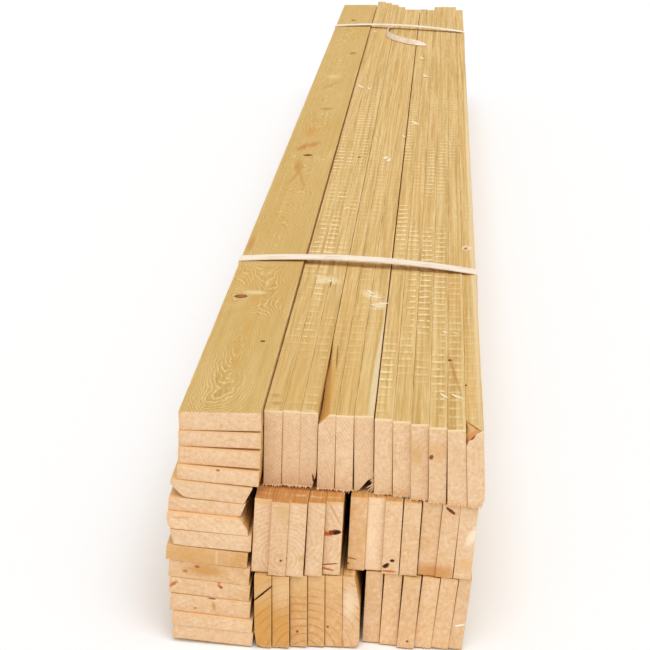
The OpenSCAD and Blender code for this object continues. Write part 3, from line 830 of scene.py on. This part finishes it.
faceMarks = {
    "flat_01": [
        onTop(-53.6, -453.2, 6.0, 3.2, (236, 211, 158), 8, soft=0.5, amount=0.7),
        onTop(-61.2, -459.9, 3.6, 3.0, (98, 44, 22)), onTop(-61.0, -459.7, 2.4, 1.6, (176, 104, 62)),
        onTop(-41.2, -529.6, 1.4, 1.2, (92, 46, 20)), onTop(-52.9, 483.4, 2.6, 5.0, (160, 92, 42)),
        onTop(-41.8, 280.8, 3.0, 6.0, (168, 116, 58), soft=0.5, amount=0.8),
        onTop(-49.1, 23.3, 5.0, 4.5, (178, 130, 66), soft=0.5, ragged=0.6, amount=0.7),
        onTop(-51.3, -137.7, 3.4, 3.0, (128, 56, 30)),
        onTop(-57.3, -112.8, 3.0, 11.0, (190, 122, 50), 12, soft=0.6, ragged=0.9, amount=0.7),
        onTop(-49.9, -104.3, 3.4, 9.0, (192, 126, 52), 20, soft=0.6, ragged=0.9, amount=0.7),
        onTop(-55.8, -62.1, 3.6, 15.0, (204, 150, 72), soft=0.7, ragged=0.6, amount=0.7),
        onTop(-55.5, -201.5, 1.1, 17.3, lineBrown, 7.1, soft=0.7, ragged=0.7, amount=0.55),
        onTop(-49.9, -206.8, 1.1, 22.8, lineBrown, -9.0, soft=0.7, ragged=0.7, amount=0.5),
        onTop(-55.0, -172.0, 2.8, 16.0, (192, 130, 56), -6, soft=0.7, ragged=0.9, amount=0.65),
        onTop(-67.3, -361.3, 1.8, 14.0, (196, 134, 64), soft=0.7, amount=0.7),
        onTop(-52.0, 124.0, 1.6, 17.0, (188, 138, 74), 24, soft=0.6, ragged=0.5, amount=0.6),
        seamShadeLine(-31.8, 0.14),
        onTop(-52.5, 162.4, 6.0, 9.0, (232, 202, 148), 5, soft=0.8, amount=0.6),
        *(onTop(*place, amberStain, soft=0.7, amount=0.7) for place in (
            (-51.3, -509.4, 2.0, 9.0), (-50.6, -560.8, 1.8, 8.0), (-53.0, -463.3, 2.4, 6.0),
            (-52.4, -413.4, 2.0, 8.0)))],
    "top_01": [
        onTop(-27.6, -596.3, 1.8, 2.2, (150, 110, 66), soft=0.7, ragged=0.7, amount=0.45),
        onTop(-26.2, -605.7, 2.0, 2.0, (146, 106, 62), soft=0.7, ragged=0.7, amount=0.45),
        seamShadeLine(-31.1, 0.12), nearTan],
    "top_02": [palePatch, nearTan],
    "top_05": [nearTan, tornA, tornB],
    "top_03": [
        palePatch, onTop(-13.2, -132.5, 1.3, 2.6, (150, 92, 42)),
        onTop(-13.5, -428.7, 0.4, 7.0, (156, 84, 40)), nearTan],
    "top_07": [seamShadeLine(19.9, 0.25, (150, 80, 36))],
    "top_04": [
        onTop(-3.4, -592.0, 2.8, 44.0, (216, 164, 86), -1.5, soft=0.4, ragged=0.4, amount=0.85),
        onTop(-2.4, -540.8, 0.4, 16.5, (140, 72, 28), -2.5), nearTan],
    "top_06": [
        onTop(18.4, -560.0, 1.8, 64.0, stripPale, 0.8, soft=0.35, amount=0.8),
        onTop(19.6, -430.0, 0.5, 75.0, stripPale, 0.4, soft=0.5, amount=0.8), tornA, tornB],
    "top_11": [
        onTop(56.4, -553.0, 0.7, 24.0, (184, 128, 66), -6.5, soft=0.7, ragged=0.5, amount=0.7),
        onTop(54.1, -534.9, 1.2, 1.4, (140, 62, 28))],
    "top_12": [
        onTop(68.0, -250.0, 1.5, 400.0, (236, 210, 166), soft=0.6, amount=0.7),
        onTop(61.8, -566.8, 0.8, 1.2, (110, 60, 34)),
        onTop(64.5, -343.3, 3.0, 5.0, (240, 216, 178), ragged=0.6, amount=0.8),
        onTop(64.0, -344.2, 1.0, 2.6, (186, 106, 66), 10),
        onTop(63.6, -616.4, 1.8, 4.4, (232, 190, 130), -20, 114.4, soft=0.5, amount=0.85),
        onBreak(64.6, 113.6, 4.2, 0.5, 4.5, (222, 150, 94), soft=0.5, amount=0.85),
        onBreak(65.3, 113.0, 5.0, 0.35, 2.5, (146, 76, 34), soft=0.4),
        onTop(65.0, -615.7, 0.35, 7.0, (146, 82, 38), -28.9, soft=0.5, amount=0.8)],
}
faceMarks.update({"mid_%02d" % i: [shadeUnderTop] for i in range(1, 6)})
archLook = {"axis": -53.0, "pitch": 1.05, "knots": ((-61.2, -459.9, 0.0), (-51.3, -137.7, 0.0))}
plainFace, plainEnd = sawnFace("sawnFaceWood"), endGrain("endGrainWood")
browEnd = endGrain("endBrowWood", brow=endLook["browAmount"])


def makeLath(short, info, order):
    s, node = lathLook, "lath_" + short
    solid = readLath(node)
    picker = random.Random(order * 7 + 3)
    kind, number = short.split("_")
    place = int(number) - 1
    before = "%s_%02d" % (kind, place)
    steps = finer.get(short, detail[kind])
    seed = picker.random()
    toneShade = shades.get(short, 0.0) + picker.uniform(-s["shadeSpread"], s["shadeSpread"])
    saw = sawShares[kind][place]
    phase = info["sawPhase"] + picker.uniform(-s["phaseSpread"], s["phaseSpread"])
    face, end = plainFace, browEnd if kind == "top" else plainEnd
    if short in faceMarks:
        face = sawnFace("face." + short, faceMarks[short], archLook if short == "flat_01" else None)
    if short in endMarks:
        end = endGrain("end." + short, endMarks[short], endLook["browAmount"] if kind == "top" else 0.0)
    shut = [0.0 if kind == "flat" or name in openAfter else swell for name in (before, short)]
    own = ownSwell.get(short, (shut[0], shut[0], shut[1], shut[1]))
    outer = short in ("flat_01", "top_12", "mid_12", "bottom_12")
    lit = outer or short in ("top_03", "top_11")   # its high side is open to the light
    onEdge = kind != "flat"
    values = {
        "Turn": math.atan2(-solid["thick"][2], solid["thick"][0]), "Place": floats(solid["middle"]),
        "Arris": s["arris"], "Easing": s["easing"], "Wander": s["wander"], "Smooth Angle": s["smoothAngle"],
        "Saw Depth": s["sawDepth"] * saw, "Saw Pitch": s["sawPitch"], "Saw Phase": phase,
        "Patch Seed": info["patchSeed"], "Seed": seed * s["seedSpread"],
        "Board": [*info["pith"], info["pitch"]], "Rings": list(info["rings"]),
        "Tone": [toneShade, hearts[kind][place], seed], "Saw": [phase, saw, info["patchSeed"]],
        # where painted seam shade falls, on the low side and on the high side, then how thin the rings' dark
        # lines are
        "Seams": [float(onEdge), float(onEdge and not lit), info["thin"]],
        "Lit Strip": float(not onEdge and not outer), "Face Material": face, "End Material": end}
    for label, size, count in zip(("Thickness", "Length", "Width"), solid["size"], steps):
        values.update({label: float(size), label + " Steps": count})
    for label, amount in zip(("Low Foot", "Low Head", "High Foot", "High Head"), own):
        values[label] = amount * mm
    for letter, (facing, spot) in zip("AB", solid["wanes"]):
        values.update({"Wane Point " + letter: floats(spot), "Wane Facing " + letter: floats(facing)})
    piece = growPiece("lathWood_" + short, lathTree, values)
    if solid["slot"]:
        cutSplit(piece, solid, values)
    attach(piece, "root")
    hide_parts(node)
    return piece


laths = {}
for info in boards:
    for short in info["laths"]:
        laths[short] = makeLath(short, info, len(laths))
print("laths made:", len(laths), "with", sum(len(p.data.polygons) for p in laths.values()), "faces")


# torn fibres at the saw's lower edges and the fringe at a wane, one rule for both, in millimetres
fuzzLook = {"aim": (0.0, -1.0, -0.12), "spacing": 0.55, "length": 2.3, "root": 0.36, "lean": 0.3, "seed": 4}
fringeLook = {"aim": (-0.75, -0.35, -0.55), "spacing": 0.8, "length": 3.8, "root": 0.6, "lean": 0.3,
              "seed": 9}
fuzzTint, fibreTip = (236, 202, 160), 0.02 * mm
looseRoughness, looseGloss = 0.9, 0.2
# what to leave out at the right of an edge where a wane has taken it away
fuzzTrim = {"top_03": 2.0, "top_06": 6.0, "top_12": 1.8}
# chips lying on top: place, turn in degrees from along the laths, and size as a share
chipLook = {"length": 12.0, "width": 3.0, "thickness": 0.3, "curl": 0.35, "tint": (246, 230, 196)}
chips = [(27.0, 277.7, 22, 1.1), (31.9, 189.9, 22, 1.1), (-25.4, 124.2, 25, 1.1), (-17.6, 116.5, 15, 0.7),
         (25.9, -8.6, 25, 1.1), (6.1, -131.4, -12, 0.9), (8.9, -138.3, -10, 0.9), (18.2, -58.8, 20, 0.6),
         (-25.3, 418.9, 40, 0.7), (-14.1, -271.6, -30, 0.5), (51.6, -496.4, 35, 0.45),
         (57.2, -496.3, 50, 0.35), (51.5, -583.6, 35, 0.55), (57.8, -583.2, 52, 0.6),
         (-21.1, -417.5, 60, 0.5), (-14.0, -424.4, 75, 0.5), (9.6, -440.5, 30, 0.65),
         (12.3, -446.8, 60, 0.7), (16.6, -458.7, -60, 0.7), (14.3, -462.0, 75, 0.65)]


def randomly(kind, low, high, seed):
    node = put(seed.tree, "FunctionNodeRandomValue", {"Seed": seed}, data_type=kind)
    first = 0 if kind == "FLOAT_VECTOR" else 2   # its inputs and outputs for this kind
    feed(node.inputs[first], low)
    feed(node.inputs[first + 1], high)
    return node.outputs[first // 2]


def makeFuzzTree():
    tree, given, out = newGroup("tornFuzz", {
        "Lines": "Geometry", "Spacing": 0.5 * mm, "Fibre Length": 1 * mm, "Root": 0.2 * mm, "Aim": "Vector",
        "Lean": 0.5, "Seed": 4, "Material": "Material"}, ["Geometry"])
    points = onMesh("CurveToPoints", onMesh("MeshToCurve", given["Lines"]), {"Length": given["Spacing"]},
                    mode="LENGTH")
    fibre = put(tree, "GeometryNodeMeshCone", {"Vertices": 5, "Radius Top": fibreTip,
                "Radius Bottom": given["Root"], "Depth": given["Fibre Length"]}).outputs["Mesh"]
    lean = joined(given["Lean"], given["Lean"], given["Lean"])
    turn = randomly("FLOAT_VECTOR", given["Aim"] - lean, given["Aim"] + lean, given["Seed"])
    size = joined(1.0, 1.0, randomly("FLOAT", 0.3, 1.3, given["Seed"]))
    strewn = onMesh("InstanceOnPoints", points, {"Instance": fibre, "Rotation": turn, "Scale": size})
    feed(out["Geometry"], dressed(onMesh("RealizeInstances", strewn), given["Material"]))
    return tree


def makeChipTree():
    tree, given, out = newGroup("strayChips", {
        "Places": "Geometry", "Chip Length": 7 * mm, "Chip Width": 1.5 * mm, "Chip Thickness": 0.25 * mm,
        "Curl": 0.7 * mm, "Material": "Material"}, ["Geometry"])
    size = joined(given["Chip Width"], given["Chip Length"], given["Chip Thickness"])
    blade = put(tree, "GeometryNodeMeshCube", {"Size": size, "Vertices X": 3, "Vertices Y": 7,
                "Vertices Z": 2}).outputs["Mesh"]
    x, y, z = apart(put(tree, "GeometryNodeInputPosition").outputs[0])
    along = y / (given["Chip Length"] * 0.5)
    square = along * along
    narrow = x * (square * -0.75 + 1.0)
    bent = onMesh("SetPosition", blade, {"Position": joined(narrow, y, square * given["Curl"] + z)})
    spin, share = (named(tree, name, "FLOAT") for name in ("spin", "share"))
    strewn = onMesh("InstanceOnPoints", given["Places"], {
        "Instance": bent, "Rotation": joined(0.0, 0.0, spin), "Scale": joined(share, share, share)})
    feed(out["Geometry"], dressed(onMesh("RealizeInstances", strewn), given["Material"]))
    return tree


def looseWood(name, tint):   # torn fibres and chips, paler than the sawn faces
    material, tree, shader = newMaterial(name)
    fleck = noise(pointInMm(tree) * 0.8)
    base = tinted(colour(*tint), (c * 0.93 for c in tint), ease(fleck, 0.4, 0.7))
    coat(shader, base, looseRoughness, looseGloss)
    return material


# a place at a lath's near end, in metres across it and in millimetres up from its foot and inward
def nearPlace(solid, across, rise, inward):
    spot = solid["middle"] - solid["wide"] * (solid["size"][2] / 2 - rise * mm) + solid["thick"] * across
    return spot[0], solid["middle"][1] - solid["size"][1] / 2 + inward * mm, spot[2]


def footLines():   # along the lower near edges of the top tier
    spots = []
    for number in range(1, 13):
        short = "top_%02d" % number
        solid = readLath("lath_" + short)
        half, trim = solid["size"][0] / 2, fuzzTrim.get(short, 0.0) * mm
        spots += [nearPlace(solid, across, 0.25, 0.3) for across in (-half, half - trim)]
    return spots


def fringeLine():   # up the side that the wane left, beside the next lath
    solid = readLath("lath_top_06")
    return [nearPlace(solid, solid["size"][0] / 2 + 0.9 * mm, rise, 0.6) for rise in (0.8, 10.0)]


def makeFuzz(name, spots, s):
    lines = bpy.data.meshes.new(name + "Lines")
    lines.from_pydata(spots, [(i, i + 1) for i in range(0, len(spots), 2)], [])
    return growPiece(name, fuzzTree, {
        "Spacing": s["spacing"] * mm, "Fibre Length": s["length"] * mm, "Root": s["root"] * mm,
        "Aim": list(Vector(s["aim"]).to_track_quat("Z", "Y").to_euler()), "Lean": s["lean"],
        "Seed": s["seed"], "Material": fibreWood}, lines)


def makeChips(s):
    solidTops = []
    for short, piece in laths.items():
        if short.startswith("top") or short == "flat_01":
            solidTops.append(BVHTree.FromPolygons([v.co for v in piece.data.vertices],
                                                  [p.vertices for p in piece.data.polygons]))
    places = bpy.data.meshes.new("chipPlaces")
    spots = []
    for x, y, _, _ in chips:
        hits = [top.ray_cast(Vector((x * mm, y * mm, 0.2)), Vector((0, 0, -1)))[0] for top in solidTops]
        spots.append((x * mm, y * mm, max(hit.z for hit in hits if hit) + s["thickness"] / 2 * mm))
    places.from_pydata(spots, [], [])
    for name, values in (("spin", [math.radians(c[2]) for c in chips]), ("share", [c[3] for c in chips])):
        places.attributes.new(name, "FLOAT", "POINT").data.foreach_set("value", values)
    return growPiece("strayChips", makeChipTree(), {
        "Chip Length": s["length"] * mm, "Chip Width": s["width"] * mm, "Chip Thickness": s["thickness"] * mm,
        "Curl": s["curl"] * mm, "Material": looseWood("chipWood", s["tint"])}, places)


fuzzTree, fibreWood = makeFuzzTree(), looseWood("tornFibre", fuzzTint)
for loose in (makeFuzz("tornFuzz", footLines(), fuzzLook), makeFuzz("waneFringe", fringeLine(), fringeLook),
              makeChips(chipLook)):
    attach(loose, "root")
    print(loose.name, "made with", len(loose.data.polygons), "faces")


# straps of pale polypropylene band
strapLook = {"tint": (244, 228, 208), "shade": (226, 204, 178), "roughness": 0.45, "gloss": 0.5,
             "weave": 0.25, "relief": 0.15 * mm}


def strapPlastic():
    s = strapLook
    material, tree, shader = newMaterial("strapPlastic")
    point = pointInMm(tree)
    x, y, z = apart(point)
    run = x + z
    weave = calc("SINE", (run + y) * 4.5) * calc("SINE", (run - y) * 4.5)
    soil = noise(point * (0.08, 0.4, 0.08), 3.0)
    base = tinted(colour(*s["tint"]), s["shade"], ease(soil, 0.45, 0.75))
    coat(shader, base, s["roughness"], s["gloss"], weave, s["relief"], s["weave"])
    return material


strapMaterial = strapPlastic()
for strap in ("strap_front", "strap_back"):
    for materialSlot in nodes[strap].material_slots:
        materialSlot.material = strapMaterial
print("straps finished")


# plain pale floor and soft studio light
studio = {"floor": 8.0, "floorTint": (0.94, 0.94, 0.94), "floorRoughness": 0.9, "floorLift": 0.6,
          "liftFrom": 0.004, "liftTo": 0.06, "world": 0.55,
          "key": (1.75, 66, 15), "fill": (0.3, 20, -20), "softness": 50}


def seenDirectly(tree):   # and not as light that falls on something
    rays = put(tree, "ShaderNodeLightPath").outputs
    return calc("MAXIMUM", rays["Is Camera Ray"],
                calc("MAXIMUM", rays["Is Glossy Ray"], rays["Is Transmission Ray"]))


def makeStudio(s):
    bpy.ops.mesh.primitive_plane_add(size=s["floor"])
    floor = bpy.context.object
    floor.name = "studioFloor"
    material, tree, shader = newMaterial("floorPaper")
    coat(shader, (*s["floorTint"], 1.0), s["floorRoughness"], 0.0)
    # seen straight on, the paper is lifted towards white and keeps a softer shadow
    white = put(tree, "ShaderNodeEmission", {"Color": (1.0, 1.0, 1.0, 1.0), "Strength": 1.0})
    at, outside = apart(put(tree, "ShaderNodeTexCoord").outputs["Object"]), []
    for axis, low, high in zip("XY", *cadBox):   # not under the bundle, where gaps let it be seen
        outside.append(calc("MAXIMUM", abs(at[axis] - (low + high) / 2) - (high - low) / 2, 0.0))
    clear = ease(vec("LENGTH", joined(*outside, 0.0)), s["liftFrom"], s["liftTo"])
    lift = seenDirectly(tree) * clear * s["floorLift"]
    lifted = put(tree, "ShaderNodeMixShader", {0: lift, 1: shader.outputs[0], 2: white.outputs[0]})
    output = next(n for n in tree.nodes if n.type == "OUTPUT_MATERIAL")
    feed(output.inputs["Surface"], lifted.outputs[0])
    floor.data.materials.append(material)
    floor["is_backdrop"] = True
    world = bpy.data.worlds.new("studioWorld")
    bpy.context.scene.world = world
    world.use_nodes = True
    sky = world.node_tree
    sky.nodes["Background"].inputs["Color"].default_value = (1.0, 1.0, 1.0, 1.0)
    # white to look at, softer as a light
    feed(sky.nodes["Background"].inputs["Strength"], seenDirectly(sky) * (1.0 - s["world"]) + s["world"])
    # strength, height and turn from straight ahead of the near ends, in degrees
    for name in ("key", "fill"):
        rise, turn = (math.radians(angle) for angle in s[name][1:])
        lamp = bpy.data.lights.new(name + "Light", "SUN")
        lamp.energy = s[name][0]
        lamp.angle = math.radians(s["softness"])
        holder = newObject(name + "Light", lamp)
        towards = Vector((math.sin(turn) * math.cos(rise), -math.cos(turn) * math.cos(rise), math.sin(rise)))
        holder.rotation_mode = "QUATERNION"
        holder.rotation_quaternion = towards.to_track_quat("Z", "Y")
    bpy.context.scene.view_settings.view_transform = "Standard"


makeStudio(studio)
print("studio set")

plain = lambda box: [[float(v) for v in corner] for corner in box]
{"cad": plain(cadBox), "visual": plain(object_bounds())}
